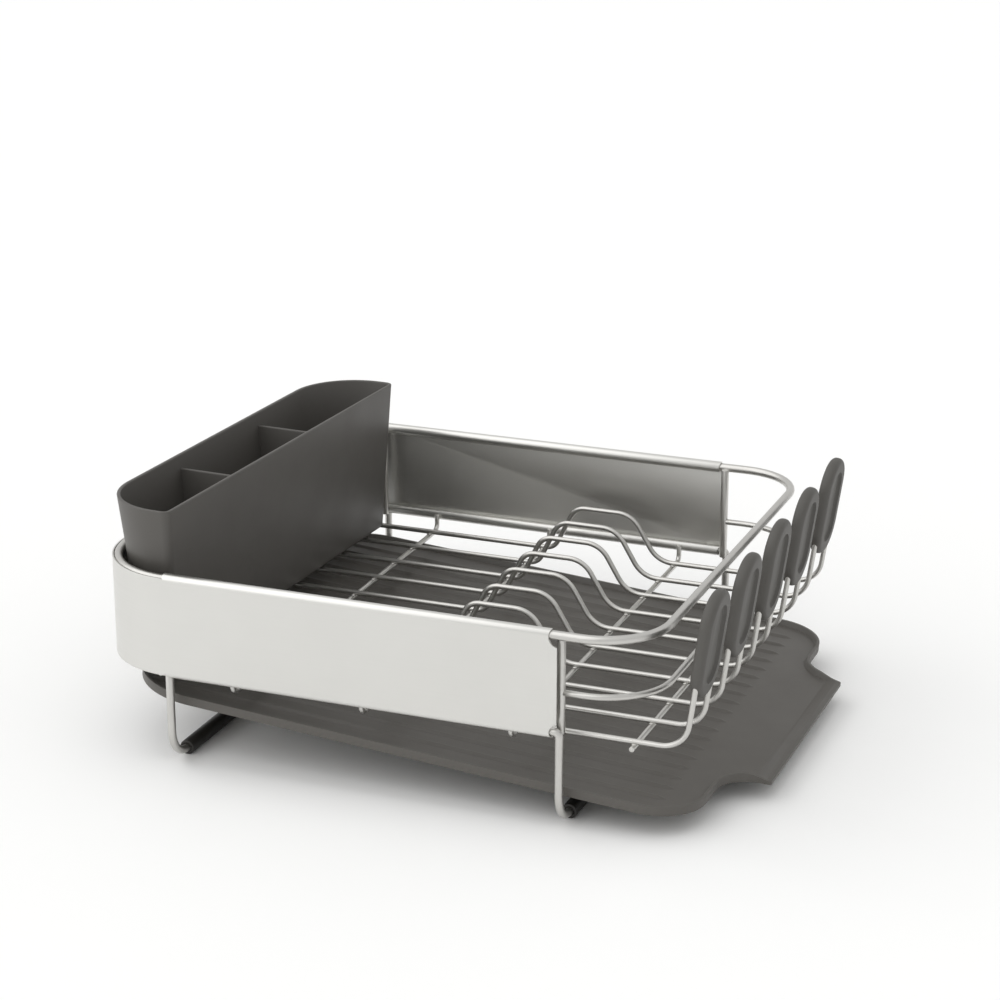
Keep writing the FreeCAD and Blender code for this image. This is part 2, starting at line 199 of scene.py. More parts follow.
def startFinish(name, look, metal):
    finish = bpy.data.materials.new(name)
    finish.use_nodes = True
    nodes, links = finish.node_tree.nodes, finish.node_tree.links
    shader = nodes["Principled BSDF"]
    shader.inputs["Metallic"].default_value = metal
    where = nodes.new("ShaderNodeTexCoord")
    grain = addNoise(nodes, links, where, look["grain"], look["grainDetail"], look["grainStretch"])
    cloud = addNoise(nodes, links, where, look["cloud"], look["cloudDetail"], (1, 1, 1))
    return finish, nodes, links, shader, grain, cloud


def addNoise(nodes, links, where, scale, detail, stretch):
    place = nodes.new("ShaderNodeMapping")
    place.inputs["Scale"].default_value = stretch
    links.new(where.outputs["Object"], place.inputs["Vector"])
    noise = nodes.new("ShaderNodeTexNoise")
    noise.inputs["Scale"].default_value = scale
    noise.inputs["Detail"].default_value = detail
    links.new(place.outputs["Vector"], noise.inputs["Vector"])
    return noise.outputs["Fac"]


def setRough(nodes, links, shader, source, look):
    scale = nodes.new("ShaderNodeMapRange")
    scale.inputs["From Min"].default_value, scale.inputs["From Max"].default_value = noiseReach
    scale.inputs["To Min"].default_value, scale.inputs["To Max"].default_value = look["rough"]
    links.new(source, scale.inputs["Value"])
    links.new(scale.outputs["Result"], shader.inputs["Roughness"])


def setColour(nodes, links, shader, source, look):
    mix = nodes.new("ShaderNodeMix")
    mix.data_type = "RGBA"
    for socket, change in (("A", 1 - look["colourSpread"]), ("B", 1 + look["colourSpread"])):
        mix.inputs[socket].default_value = (*[c * change for c in look["colour"]], 1)
    links.new(source, mix.inputs["Factor"])
    links.new(mix.outputs["Result"], shader.inputs["Base Color"])


def setBump(nodes, links, shader, source, look):
    bump = nodes.new("ShaderNodeBump")
    bump.inputs["Strength"].default_value = look["bump"]
    bump.inputs["Distance"].default_value = mm(look["bumpHeight"])
    links.new(source, bump.inputs["Height"])
    links.new(bump.outputs["Normal"], shader.inputs["Normal"])


def satinSteel(name, look):
    finish, nodes, links, shader, grain, cloud = startFinish(name, look, 1.0)
    setRough(nodes, links, shader, grain, look)
    setColour(nodes, links, shader, cloud, look)
    setBump(nodes, links, shader, grain, look)
    return finish


def mouldedFinish(name, look):
    finish, nodes, links, shader, grain, cloud = startFinish(name, look, 0.0)
    setRough(nodes, links, shader, cloud, look)
    setColour(nodes, links, shader, grain, look)
    setBump(nodes, links, shader, grain, look)
    return finish


bandSteel = satinSteel("bandSteel", sheetFinish)
rackWire = satinSteel("rackWire", wireFinish)
caddyPlastic = mouldedFinish("caddyPlastic", caddyFinish)
boardPlastic = mouldedFinish("boardPlastic", boardFinish)
gripRubber = mouldedFinish("gripRubber", gripFinish)
footRubber = mouldedFinish("footRubber", footFinish)
print("finishes made")


# helpers for every piece

samePlace = 1e-6  # nearer than this, two points are one
sharpFrom = 45.0  # degrees between two faces that make an edge sharp
smoothTo = 35.0


def makePiece(shape, name, finish, smooth=smoothTo):
    mesh = bpy.data.meshes.new(name)
    shape.to_mesh(mesh)
    shape.free()
    piece = bpy.data.objects.new(name, mesh)
    bpy.context.scene.collection.objects.link(piece)
    mesh.materials.append(finish)
    shadeSmooth(piece, smooth)
    return piece


def shadeSmooth(piece, smooth=smoothTo):
    for face in piece.data.polygons:
        face.use_smooth = True
    piece.data.set_sharp_from_angle(angle=math.radians(smooth))


def standFor(piece, body, slotName, *nodes):
    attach(piece, body)
    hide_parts(*nodes)


def applyModifiers(piece):
    depsgraph = bpy.context.evaluated_depsgraph_get()
    mesh = bpy.data.meshes.new_from_object(piece.evaluated_get(depsgraph))
    piece.modifiers.clear()
    piece.data = mesh


def cutAway(piece, cutter):
    cut = piece.modifiers.new("cut", "BOOLEAN")
    cut.operation = "DIFFERENCE"
    cut.solver = "EXACT"
    cut.object = cutter
    applyModifiers(piece)
    bpy.data.objects.remove(cutter)


def edgesAmong(verts):
    inside = set(verts)
    touching = dict.fromkeys(e for v in verts for e in v.link_edges)  # each once, in order
    return [e for e in touching if inside.issuperset(e.verts)]


def onlyVerts(geom):
    return [g for g in geom if isinstance(g, bmesh.types.BMVert)]


def vertsOf(edges):
    return list(dict.fromkeys(v for e in edges for v in e.verts))


def boundaryOf(shape):
    return [e for e in shape.edges if e.is_boundary]


def edgesAtHeight(shape, height):
    return [e for e in shape.edges if all(abs(v.co.z - height) < samePlace for v in e.verts)]


def sharpEdges(shape):
    turned = math.radians(sharpFrom)
    return [e for e in shape.edges if len(e.link_faces) == 2 and e.calc_face_angle() > turned]


def onlyFaceUp(shape):
    face = shape.faces[:][0]
    face.normal_update()
    if face.normal.z < 0:
        face.normal_flip()
    return face


def cutAcross(shape, place, normal, clear=False):
    made = bmesh.ops.bisect_plane(
        shape, geom=shape.verts[:] + shape.edges[:] + shape.faces[:], dist=samePlace,
        plane_co=place, plane_no=normal, clear_outer=clear,
    )
    return [g for g in made["geom_cut"] if isinstance(g, bmesh.types.BMEdge)]


def thickened(shape, move):
    grown = bmesh.ops.extrude_face_region(shape, geom=shape.faces[:])["geom"]
    bmesh.ops.translate(shape, verts=onlyVerts(grown), vec=move)
    bmesh.ops.recalc_face_normals(shape, faces=shape.faces)


# upright slab along X from its outline in X and Z, its edges at one height rounded
def addSlab(shape, outline, y, thick, roundAt, size, steps, shortest=0):
    part = bmesh.new()
    part.faces.new([part.verts.new((x, y - thick / 2, z)) for x, z in outline])
    thickened(part, (0, thick, 0))
    picked = [e for e in edgesAtHeight(part, roundAt) if e.calc_length() > shortest]
    roundEdges(part, picked, size, steps)
    mesh = bpy.data.meshes.new("slab")
    part.to_mesh(mesh)
    part.free()
    shape.from_mesh(mesh)
    bpy.data.meshes.remove(mesh)


def roundEdges(shape, edges, size, segments):
    bmesh.ops.bevel(
        shape, geom=edges, offset=size, offset_type="OFFSET", segments=segments,
        profile=0.5, affect="EDGES", material=-1, clamp_overlap=True,
    )


def roundCorner(shape, verts, size, segments):
    bmesh.ops.bevel(
        shape, geom=verts, offset=size, offset_type="OFFSET", segments=segments,
        profile=0.5, affect="VERTICES", material=-1, clamp_overlap=False,
    )


# bent wire: a ring is fed along each straight and spun round each bend

wireMesh = {"ringSteps": 20, "bendStep": 7.0, "fewestSteps": 3, "endRound": 0.35, "endSteps": 2}


def fedOn(shape, ring, move):
    made = bmesh.ops.extrude_edge_only(shape, edges=ring)["geom"]
    verts = onlyVerts(made)
    bmesh.ops.translate(shape, verts=verts, vec=move)
    return edgesAmong(verts)


def bentRound(shape, ring, centre, axis, angle):
    steps = max(wireMesh["fewestSteps"], math.ceil(math.degrees(angle) / wireMesh["bendStep"]))
    made = bmesh.ops.spin(
        shape, geom=vertsOf(ring) + ring, cent=centre, axis=axis, dvec=(0, 0, 0),
        angle=angle, steps=steps, use_merge=False, use_duplicate=False,
    )
    return edgesAmong(onlyVerts(made["geom_last"]))


def bendWire(shape, corners, bends, thickness, closed=False):
    if closed:
        middle = (corners[0] + corners[1]) / 2
        corners = [middle] + corners[1:] + corners[:1] + [middle]
        bends = [0] + bends[1:] + bends[:1] + [0]
    along = (corners[1] - corners[0]).normalized()
    stand = Matrix.Translation(corners[0]) @ along.to_track_quat("Z", "Y").to_matrix().to_4x4()
    started = bmesh.ops.create_circle(
        shape, cap_ends=False, radius=thickness / 2, segments=wireMesh["ringSteps"], matrix=stand,
    )["verts"]
    ring = edgesAmong(started)
    here = corners[0]
    for before, corner, after, bend in zip(corners, corners[1:], corners[2:], bends[1:]):
        inward = (corner - before).normalized()
        outward = (after - corner).normalized()
        turn = inward.angle(outward)
        reach = bend * math.tan(turn / 2)
        start = corner - inward * reach
        ring = fedOn(shape, ring, start - here)
        side = (outward - inward * inward.dot(outward)).normalized()
        ring = bentRound(shape, ring, start + side * bend, inward.cross(outward), turn)
        here = corner + outward * reach
    ring = fedOn(shape, ring, corners[-1] - here)
    if closed:
        bmesh.ops.remove_doubles(shape, verts=shape.verts, dist=samePlace)
    else:
        for loop in (edgesAmong(started), ring):
            bmesh.ops.contextual_create(shape, geom=loop)
            roundEdges(shape, loop, mm(wireMesh["endRound"]), wireMesh["endSteps"])
    bmesh.ops.recalc_face_normals(shape, faces=shape.faces)


# small flattened bead of a resistance weld
def addWeld(shape, place, wide, high):
    squash = Matrix.Diagonal((wide, wide, high, 1))
    bmesh.ops.create_icosphere(shape, subdivisions=2, radius=1, matrix=Matrix.Translation(place) @ squash)


# band: sheet bent round the caddy end, its straight edges rolled over the rails

bandSheet = {
    "thickness": 0.8,
    "corner": 54.0,
    "cornerSteps": 28,
    "hemRadius": 3.5,  # outside of the rolled hem
    "hemTurn": 235,
    "hemSteps": 26,
    "edgeDrop": 2.0,  # curved end's edges below the hem's top
    "topNotch": 6.0,
    "bottomNotch": 5.5,
    "notchStep": 1.0,  # the notches' middles past the free ends
    "notchSteps": 64,
    "cutterSpare": 10.0,  # cutter past the band at either side
    "edgeRound": 0.12,
    "edgeSteps": 2,
    "roundFrom": 50.0,
    "smoothTo": 40.0,
}


def rollHem(shape, edge, front, top):
    low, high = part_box("steel_band")
    radius = mm(bandSheet["hemRadius"])
    centreY = low.y + radius if front else high.y - radius
    centreZ = high.z - radius if top else low.z + radius
    way = -1 if front == top else 1
    bmesh.ops.spin(
        shape, geom=[*edge.verts, edge], cent=(0, centreY, centreZ), axis=(1, 0, 0), dvec=(0, 0, 0),
        angle=way * math.radians(bandSheet["hemTurn"]), steps=bandSheet["hemSteps"],
        use_merge=False, use_duplicate=False,
    )


def makeBand():
    low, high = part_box("steel_band")
    half = mm(bandSheet["thickness"]) / 2
    corner = mm(bandSheet["corner"])
    hem = mm(bandSheet["hemRadius"])
    bottomZ = low.z + hem
    topZ = high.z - hem
    shape = bmesh.new()
    start = [shape.verts.new((high.x, low.y + half, z)) for z in (bottomZ, topZ)]
    side = [shape.edges.new(start)]
    straight = high.x - low.x - corner
    side = fedOn(shape, side, Vector((-straight, 0, 0)))
    for centreY, move in ((low.y + corner, Vector((0, high.y - low.y - 2 * corner, 0))),
                          (high.y - corner, Vector((straight, 0, 0)))):
        spun = bmesh.ops.spin(
            shape, geom=vertsOf(side) + side,
            cent=(low.x + corner, centreY, 0), axis=(0, 0, 1), dvec=(0, 0, 0),
            angle=-math.pi / 2, steps=bandSheet["cornerSteps"], use_merge=False, use_duplicate=False,
        )
        side = fedOn(shape, edgesAmong(onlyVerts(spun["geom_last"])), move)
    bmesh.ops.remove_doubles(shape, verts=shape.verts, dist=samePlace)
    for height, top in ((topZ, True), (bottomZ, False)):
        rims = edgesAtHeight(shape, height)
        hems = [
            e for e in rims
            if e.calc_length() > straight / 2 and abs(e.verts[0].co.y) > high.y - mm(1)
        ]
        curved = [e for e in rims if e not in hems]
        raised = hem - mm(bandSheet["edgeDrop"])
        fedOn(shape, curved, Vector((0, 0, raised if top else -raised)))
        for edge in hems:
            rollHem(shape, edge, edge.verts[0].co.y < 0, top)
    bmesh.ops.recalc_face_normals(shape, faces=shape.faces)
    band = makePiece(shape, "steelBand", bandSteel, bandSheet["smoothTo"])
    wall = band.modifiers.new("wall", "SOLIDIFY")
    wall.thickness = mm(bandSheet["thickness"])
    wall.offset = 0
    applyModifiers(band)
    cutNotches(band, high, bottomZ, topZ)
    soften = band.modifiers.new("soften", "BEVEL")
    soften.width = mm(bandSheet["edgeRound"])
    soften.segments = bandSheet["edgeSteps"]
    soften.limit_method = "ANGLE"
    soften.angle_limit = math.radians(bandSheet["roundFrom"])
    applyModifiers(band)
    shadeSmooth(band, bandSheet["smoothTo"])
    standFor(band, "rack", "band_steel", "steel_band")


def cutNotches(band, high, bottomZ, topZ):
    shape = bmesh.new()
    across = Matrix.Rotation(math.pi / 2, 4, "X")
    length = 2 * (high.y + mm(bandSheet["cutterSpare"]))
    for height, radius in ((topZ, bandSheet["topNotch"]), (bottomZ, bandSheet["bottomNotch"])):
        place = Matrix.Translation((high.x + mm(bandSheet["notchStep"]), 0, height))
        bmesh.ops.create_cone(
            shape, cap_ends=True, segments=bandSheet["notchSteps"],
            radius1=mm(radius), radius2=mm(radius),
            depth=length, matrix=place @ across,
        )
    cutAway(band, makePiece(shape, "notchCutter", bandSteel))


makeBand()
print("band made")


# rails, posts and legs

railBends = {"caddyEnd": 50.5, "mugEnd": 38.0}
postWeld = {"wide": 2.3, "high": 1.5, "rise": 1.5}  # rise above the top rail's underside
legBends = {"leg": 17.0, "tail": 3.2, "tailLength": 14.0}


def plainWire(name, corners, bends, thickness, closed=False, weld=None):
    shape = bmesh.new()
    bendWire(shape, corners, bends, thickness, closed)
    if weld:
        addWeld(shape, weld, mm(postWeld["wide"]), mm(postWeld["high"]))
    return makePiece(shape, name, rackWire)


# corners of a rail in plan: its ends, or a closed rail's first side, then the bent side
def railCorners(node, endX, bentX):
    low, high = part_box(node)
    r = (high.z - low.z) / 2
    front, back, z = low.y + r, high.y - r, low.z + r
    return [Vector((x, y, z)) for x, y in ((endX, front), (bentX, front), (bentX, back), (endX, back))]


def makeRails():
    caddyBend = mm(railBends["caddyEnd"])
    mugBend = mm(railBends["mugEnd"])

    low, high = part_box("top_rail")
    thick = high.z - low.z
    corners = railCorners("top_rail", low.x + thick / 2, high.x - thick / 2)
    rail = plainWire("topRail", corners, [caddyBend, mugBend, mugBend, caddyBend], thick, closed=True)
    standFor(rail, "rack", "wire_steel", "top_rail")

    low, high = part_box("bottom_rail")
    thick = high.z - low.z
    corners = railCorners("bottom_rail", high.x, low.x + thick / 2)
    rail = plainWire("bottomRail", corners, [0, caddyBend, caddyBend, 0], thick)
    standFor(rail, "rack", "wire_steel", "bottom_rail")

    low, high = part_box("mid_rail")
    thick = high.z - low.z
    corners = railCorners("mid_rail", low.x - thick / 2, high.x - thick / 2)  # ends sunk in the posts
    rail = plainWire("midRail", corners, [0, mugBend, mugBend, 0], thick)
    standFor(rail, "rack", "wire_steel", "mid_rail")


def makePosts():
    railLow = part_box("top_rail")[0]
    for end in ("left", "right"):
        for face in ("front", "rear"):
            node = f"rail_post_{end}_{face}"
            low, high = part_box(node)
            x, y = (low.x + high.x) / 2, (low.y + high.y) / 2
            thick = high.x - low.x
            weld = Vector((x, y + math.copysign(thick / 2, y), railLow.z + mm(postWeld["rise"])))
            ends = [Vector((x, y, low.z)), Vector((x, y, high.z))]
            post = plainWire(f"railPost{end.title()}{face.title()}", ends, [0, 0], thick, weld=weld)
            standFor(post, "rack", "wire_steel", node)


def makeLegs():
    bend = mm(legBends["leg"])
    low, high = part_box("leg_frame_left")
    thick = high.x - low.x
    r = thick / 2
    x, rod, front, back = low.x + r, low.z + r, low.y + r, high.y - r
    path = ((x, front, high.z), (x, front, rod), (x, back, rod), (x, back, high.z))
    corners = [Vector(p) for p in path]
    leg = plainWire("legFrameLeft", corners, [0, bend, bend, 0], thick)
    standFor(leg, "rack", "wire_steel", "leg_frame_left")

    low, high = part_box("leg_frame_right")
    tail = mm(legBends["tail"])
    x, top = high.x - r, high.z - r
    inner = x - mm(legBends["tailLength"])
    corners = [Vector(p) for p in (
        (inner, front, top), (x, front, top), (x, front, rod),
        (x, back, rod), (x, back, top), (inner, back, top),
    )]
    leg = plainWire("legFrameRight", corners, [0, tail, bend, bend, tail, 0], thick)
    standFor(leg, "rack", "wire_steel", "leg_frame_right")


makeRails()
makePosts()
makeLegs()
print("rails, posts and legs made")


# foot sleeves: rubber tube pushed on the floor rod, worn flat below

sleeveTube = {"outside": 9.0, "bore": 4.9, "endRound": 0.7, "endSteps": 3, "segments": 40}


def makeSleeves():
    for end in ("left", "right"):
        for face in ("front", "rear"):
            node = f"foot_sleeve_{end}_{face}"
            low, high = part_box(node)
            x = (low.x + high.x) / 2
            outside = mm(sleeveTube["outside"]) / 2
            bore = mm(sleeveTube["bore"]) / 2
            place = Vector((x, low.y, high.z - outside))
            shape = bmesh.new()
            stand = Matrix.Translation(place) @ Matrix.Rotation(-math.pi / 2, 4, "X")
            rings = []
            for radius in (outside, bore):
                circle = bmesh.ops.create_circle(
                    shape, cap_ends=False, radius=radius, segments=sleeveTube["segments"], matrix=stand)
                rings += edgesAmong(circle["verts"])
            bmesh.ops.bridge_loops(shape, edges=rings)
            thickened(shape, (0, high.y - low.y, 0))
            roundEdges(shape, sharpEdges(shape), mm(sleeveTube["endRound"]), sleeveTube["endSteps"])
            bmesh.ops.holes_fill(shape, edges=cutAcross(shape, (0, 0, low.z), (0, 0, -1), clear=True))
            sleeve = makePiece(shape, f"footSleeve{end.title()}{face.title()}", footRubber)
            standFor(sleeve, "rack", "foot_rubber", node)


makeSleeves()
print("foot sleeves made")


# floor wires with their plate loops, and the cross wires below them

plateWire = {
    "pairs": 5,
    "pitch": 31.0,
    "thickness": 3.2,
    "leftFoot": -14.7,  # corners of a plate loop along X
    "leftTop": -0.2,
    "rightTop": 38.8,
    "rightFoot": 56.8,
    "loopHeight": 30.0,
    "bends": [0, 9.0, 11.0, 17.0, 18.0, 16.0, 15.0],
    "postFoot": 164.3,
    "postLean": 8.0,
    "postHeight": 85.0,
    "crossWires": 5,
    "crossThickness": 3.2,
    "crossBend": 5.0,
    "weldWide": 2.0,
    "weldHigh": 0.9,
}


def floorHeight():
    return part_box("plate_wire_1")[0].z + mm(plateWire["thickness"]) / 2


def pairMiddle(number):
    return (number - (plateWire["pairs"] - 1) / 2) * 2 * mm(plateWire["pitch"])


def floorWireCorners(y):
    z = floorHeight()
    top = z + mm(plateWire["loopHeight"])
    post = mm(plateWire["postHeight"])
    lean = post * math.tan(math.radians(plateWire["postLean"]))
    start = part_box("plate_wire_1")[0].x
    return [
        Vector((start, y, z)),
        Vector((mm(plateWire["leftFoot"]), y, z)),
        Vector((mm(plateWire["leftTop"]), y, top)),
        Vector((mm(plateWire["rightTop"]), y, top)),
        Vector((mm(plateWire["rightFoot"]), y, z)),
        Vector((mm(plateWire["postFoot"]), y, z)),
        Vector((mm(plateWire["postFoot"]) + lean, y, z + post)),
    ]


def makePlateWires():
    reach = mm(plateWire["pitch"]) / 2
    bends = [mm(b) for b in plateWire["bends"]]
    for number in range(plateWire["pairs"]):
        middle = pairMiddle(number)
        corners = floorWireCorners(middle - reach) + floorWireCorners(middle + reach)[::-1]
        shape = bmesh.new()
        bendWire(shape, corners, bends + bends[::-1], mm(plateWire["thickness"]))
        wire = makePiece(shape, f"plateWire{number + 1}", rackWire)
        standFor(wire, "rack", "wire_steel", f"plate_wire_{number + 1}")


def makeCrossWires():
    wide, high = mm(plateWire["weldWide"]), mm(plateWire["weldHigh"])
    thick = mm(plateWire["crossThickness"])
    contact = floorHeight() - mm(plateWire["thickness"]) / 2
    for number in range(1, plateWire["crossWires"] + 1):
        node = f"cross_wire_{number}"
        low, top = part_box(node)
        x = (low.x + top.x) / 2
        z = low.z + thick / 2
        if top.z - low.z > 2 * thick:
            ends = low.y + thick / 2
            bend = mm(plateWire["crossBend"])
            hook = ((ends, top.z), (ends, z), (-ends, z), (-ends, top.z))
            corners = [Vector((x, y, h)) for y, h in hook]
            bends = [0, bend, bend, 0]
        else:
            corners = [Vector((x, low.y, z)), Vector((x, top.y, z))]
            bends = [0, 0]
        shape = bmesh.new()
        bendWire(shape, corners, bends, thick)
        for pair in range(plateWire["pairs"]):
            for side in (-1, 1):
                y = pairMiddle(pair) + side * mm(plateWire["pitch"]) / 2
                addWeld(shape, Vector((x, y, contact)), wide, high)
        wire = makePiece(shape, f"crossWire{number}", rackWire)
        standFor(wire, "rack", "wire_steel", node)


makePlateWires()
makeCrossWires()
print("floor wires and cross wires made")


# mug grips: rubber pads moulded on the mug posts

mugGrip = {
    "margin": 3.6,
    "bottom": 27.0,
    "topFlat": 1.0,
    "topSteps": 20,
    "thickness": 7.4,
    "rim": 8.2,
    "web": 3.4,
    "edgeRound": 3.2,
    "edgeSteps": 6,
    "webSlope": 1.0,
    "webRound": 0.6,
    "webSteps": 2,
    "smoothTo": 30.0,
}


def makeGrips():
    lean = math.radians(plateWire["postLean"])
    half = mm(plateWire["pitch"]) / 2 + mm(mugGrip["margin"])
    low = mm(mugGrip["bottom"]) / math.cos(lean)
    high = mm(plateWire["postHeight"]) / math.cos(lean) + mm(mugGrip["margin"])
    thick = mm(mugGrip["thickness"])
    depth = mm(mugGrip["thickness"] - mugGrip["web"]) / 2
    rimFlat = mm(mugGrip["rim"] - mugGrip["edgeRound"])
    for number in range(plateWire["pairs"]):
        shape = bmesh.new()
        around = ((-half, low), (half, low), (half, high), (-half, high))
        corners = [shape.verts.new((-thick / 2, y, z)) for y, z in around]
        shape.faces.new(corners)
        roundCorner(shape, corners, half - mm(mugGrip["topFlat"]) / 2, mugGrip["topSteps"])
        thickened(shape, (thick, 0, 0))
        roundEdges(shape, sharpEdges(shape), mm(mugGrip["edgeRound"]), mugGrip["edgeSteps"])
        bmesh.ops.recalc_face_normals(shape, faces=shape.faces)
        for face in sorted(shape.faces, key=lambda f: f.calc_area())[-2:]:
            bmesh.ops.inset_region(shape, faces=[face], thickness=rimFlat, use_even_offset=True)
            bmesh.ops.inset_region(
                shape, faces=[face], thickness=mm(mugGrip["webSlope"]),
                depth=-depth, use_even_offset=True)
            roundEdges(shape, list(face.edges), mm(mugGrip["webRound"]), mugGrip["webSteps"])
        foot = Vector((mm(plateWire["postFoot"]), pairMiddle(number), floorHeight()))
        bmesh.ops.transform(
            shape, verts=shape.verts, matrix=Matrix.Translation(foot) @ Matrix.Rotation(lean, 4, "Y"))
        grip = makePiece(shape, f"mugGrip{number + 1}", gripRubber, mugGrip["smoothTo"])
        standFor(grip, "rack", "grip_rubber", f"mug_grip_{number + 1}")


makeGrips()
print("mug grips made")


# flatware caddy: tapering D with a flat wall towards the plates

caddyBox = {
    "length": 292.0,
    "width": 51.8,  # at the rim
    "roundCorner": 41.0,
    "roundSteps": 28,
    "squareCorner": 5.0,
    "squareSteps": 8,
    "wall": 2.2,
    "floor": 2.6,
    "roundDraft": 10.0,
    "flatDraft": 3.5,
    "rimRound": 0.75,
    "rimSteps": 3,
    "footRound": 3.5,
    "footSteps": 4,
    "wellSteps": 3,
    "divider": 2.0,
    "dividerDrop": 8.0,
    "dividerRound": 0.9,
    "dividerSteps": 3,
    "slotLength": 22.0,
    "slotWidth": 4.0,
    "slotEndFlat": 0.1,
    "slotSteps": 8,
    "slots": 3,
    "cutterSpare": 1.0,
    "turn": -2.7,
}


# share of the draft at a height over the foot
def caddyDrop(height, tall):
    return 1 - height / tall


def taperTo(shape, verts, height, tall, inset):
    drop = caddyDrop(height, tall)
    width, length = mm(caddyBox["width"]) - 2 * inset, mm(caddyBox["length"]) - 2 * inset
    roundIn, flatIn = mm(caddyBox["roundDraft"]) * drop, mm(caddyBox["flatDraft"]) * drop
    scale = Vector(((width - roundIn - flatIn) / width, (length - 2 * roundIn) / length, 1))
    bmesh.ops.scale(shape, verts=verts, vec=scale)
    bmesh.ops.translate(shape, verts=verts, vec=((roundIn - flatIn) / 2, 0, height - tall))


def makeCaddy():
    low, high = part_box("flatware_caddy")
    tall = high.z - low.z
    halfW, halfL = mm(caddyBox["width"]) / 2, mm(caddyBox["length"]) / 2
    wall = mm(caddyBox["wall"])
    shape = bmesh.new()
    around = ((-halfW, -halfL), (halfW, -halfL), (halfW, halfL), (-halfW, halfL))
    corners = [shape.verts.new((x, y, 0)) for x, y in around]
    shape.faces.new(corners)
    roundCorner(shape, [corners[0], corners[3]], mm(caddyBox["roundCorner"]), caddyBox["roundSteps"])
    square = [v for v in shape.verts if v.co.x > halfW - samePlace and abs(v.co.y) > halfL - samePlace]
    roundCorner(shape, square, mm(caddyBox["squareCorner"]), caddyBox["squareSteps"])
    rim = onlyFaceUp(shape)
    bmesh.ops.inset_region(shape, faces=[rim], thickness=wall, use_even_offset=True, use_boundary=True)
    well = bmesh.ops.extrude_face_region(shape, geom=[rim])["geom"]
    if rim.is_valid:
        shape.faces.remove(rim)
    taperTo(shape, onlyVerts(well), mm(caddyBox["floor"]), tall, wall)
    made = bmesh.ops.extrude_edge_only(shape, edges=boundaryOf(shape))["geom"]
    footVerts = onlyVerts(made)
    taperTo(shape, footVerts, 0, tall, 0)
    bmesh.ops.contextual_create(shape, geom=edgesAmong(footVerts))
    bmesh.ops.recalc_face_normals(shape, faces=shape.faces)
    footRound = mm(caddyBox["footRound"])
    wellFloor = mm(caddyBox["floor"]) - tall
    roundEdges(shape, edgesAtHeight(shape, -tall), footRound, caddyBox["footSteps"])
    roundEdges(shape, edgesAtHeight(shape, wellFloor), footRound - wall / 2, caddyBox["wellSteps"])
    rims = [e for e in edgesAtHeight(shape, 0) if any(abs(f.normal.z) < 0.5 for f in e.link_faces)]
    roundEdges(shape, rims, mm(caddyBox["rimRound"]), caddyBox["rimSteps"])
    bmesh.ops.recalc_face_normals(shape, faces=shape.faces)
    caddy = makePiece(shape, "flatwareCaddy", caddyPlastic)
    cutDrainSlots(caddy, tall)
    shape = bmesh.new()
    shape.from_mesh(caddy.data)
    for side in (-1, 1):
        addDivider(shape, side * mm(caddyBox["length"]) / 6, tall)
    turn = Matrix.Rotation(math.radians(caddyBox["turn"]), 4, "Z")
    bmesh.ops.transform(shape, verts=shape.verts, matrix=turn)
    xs, ys, zs = ([v.co[i] for v in shape.verts] for i in range(3))
    middle = Vector(((min(xs) + max(xs)) / 2, (min(ys) + max(ys)) / 2, max(zs)))
    home = Vector(((low.x + high.x) / 2, (low.y + high.y) / 2, high.z))
    bmesh.ops.translate(shape, verts=shape.verts, vec=home - middle)
    shape.to_mesh(caddy.data)
    shape.free()
    shadeSmooth(caddy)
    standFor(caddy, "caddy", "caddy_plastic", "flatware_caddy")


def cutDrainSlots(caddy, tall):
    shape = bmesh.new()
    third = mm(caddyBox["length"]) / 3
    halfRun, halfWide = mm(caddyBox["slotLength"]) / 2, mm(caddyBox["slotWidth"]) / 2
    bend = halfWide - mm(caddyBox["slotEndFlat"]) / 2
    middleX = mm(caddyBox["roundDraft"] - caddyBox["flatDraft"]) / 2
    spare = mm(caddyBox["cutterSpare"])
    for compartment in (-1, 0, 1):
        for number in range(caddyBox["slots"]):
            offset = (number - (caddyBox["slots"] - 1) / 2) * third / (caddyBox["slots"] + 1)
            y = compartment * third + offset
            around = (
                (-halfRun, -halfWide), (halfRun, -halfWide),
                (halfRun, halfWide), (-halfRun, halfWide),
            )
            corners = [shape.verts.new((middleX + dx, y + dy, -tall - spare)) for dx, dy in around]
            shape.faces.new(corners)
            roundCorner(shape, corners, bend, caddyBox["slotSteps"])
    thickened(shape, (0, 0, mm(caddyBox["floor"]) + 2 * spare))
    cutAway(caddy, makePiece(shape, "slotCutter", caddyPlastic))


def addDivider(shape, y, tall):
    edge = (mm(caddyBox["width"]) - mm(caddyBox["wall"])) / 2
    thick = mm(caddyBox["divider"])
    outline = []
    for height in (mm(caddyBox["floor"]) / 2, tall - mm(caddyBox["dividerDrop"])):
        drop = caddyDrop(height, tall)
        row = [
            (-edge + mm(caddyBox["roundDraft"]) * drop, height - tall),
            (edge - mm(caddyBox["flatDraft"]) * drop, height - tall),
        ]
        outline += row[::-1] if outline else row
    size = mm(caddyBox["dividerRound"])
    below = -mm(caddyBox["dividerDrop"])
    addSlab(shape, outline, y, thick, below, size, caddyBox["dividerSteps"], 2 * thick)


makeCaddy()
print("flatware caddy made")


# drainboard: sloped tray with low ridges, a lip and a spout

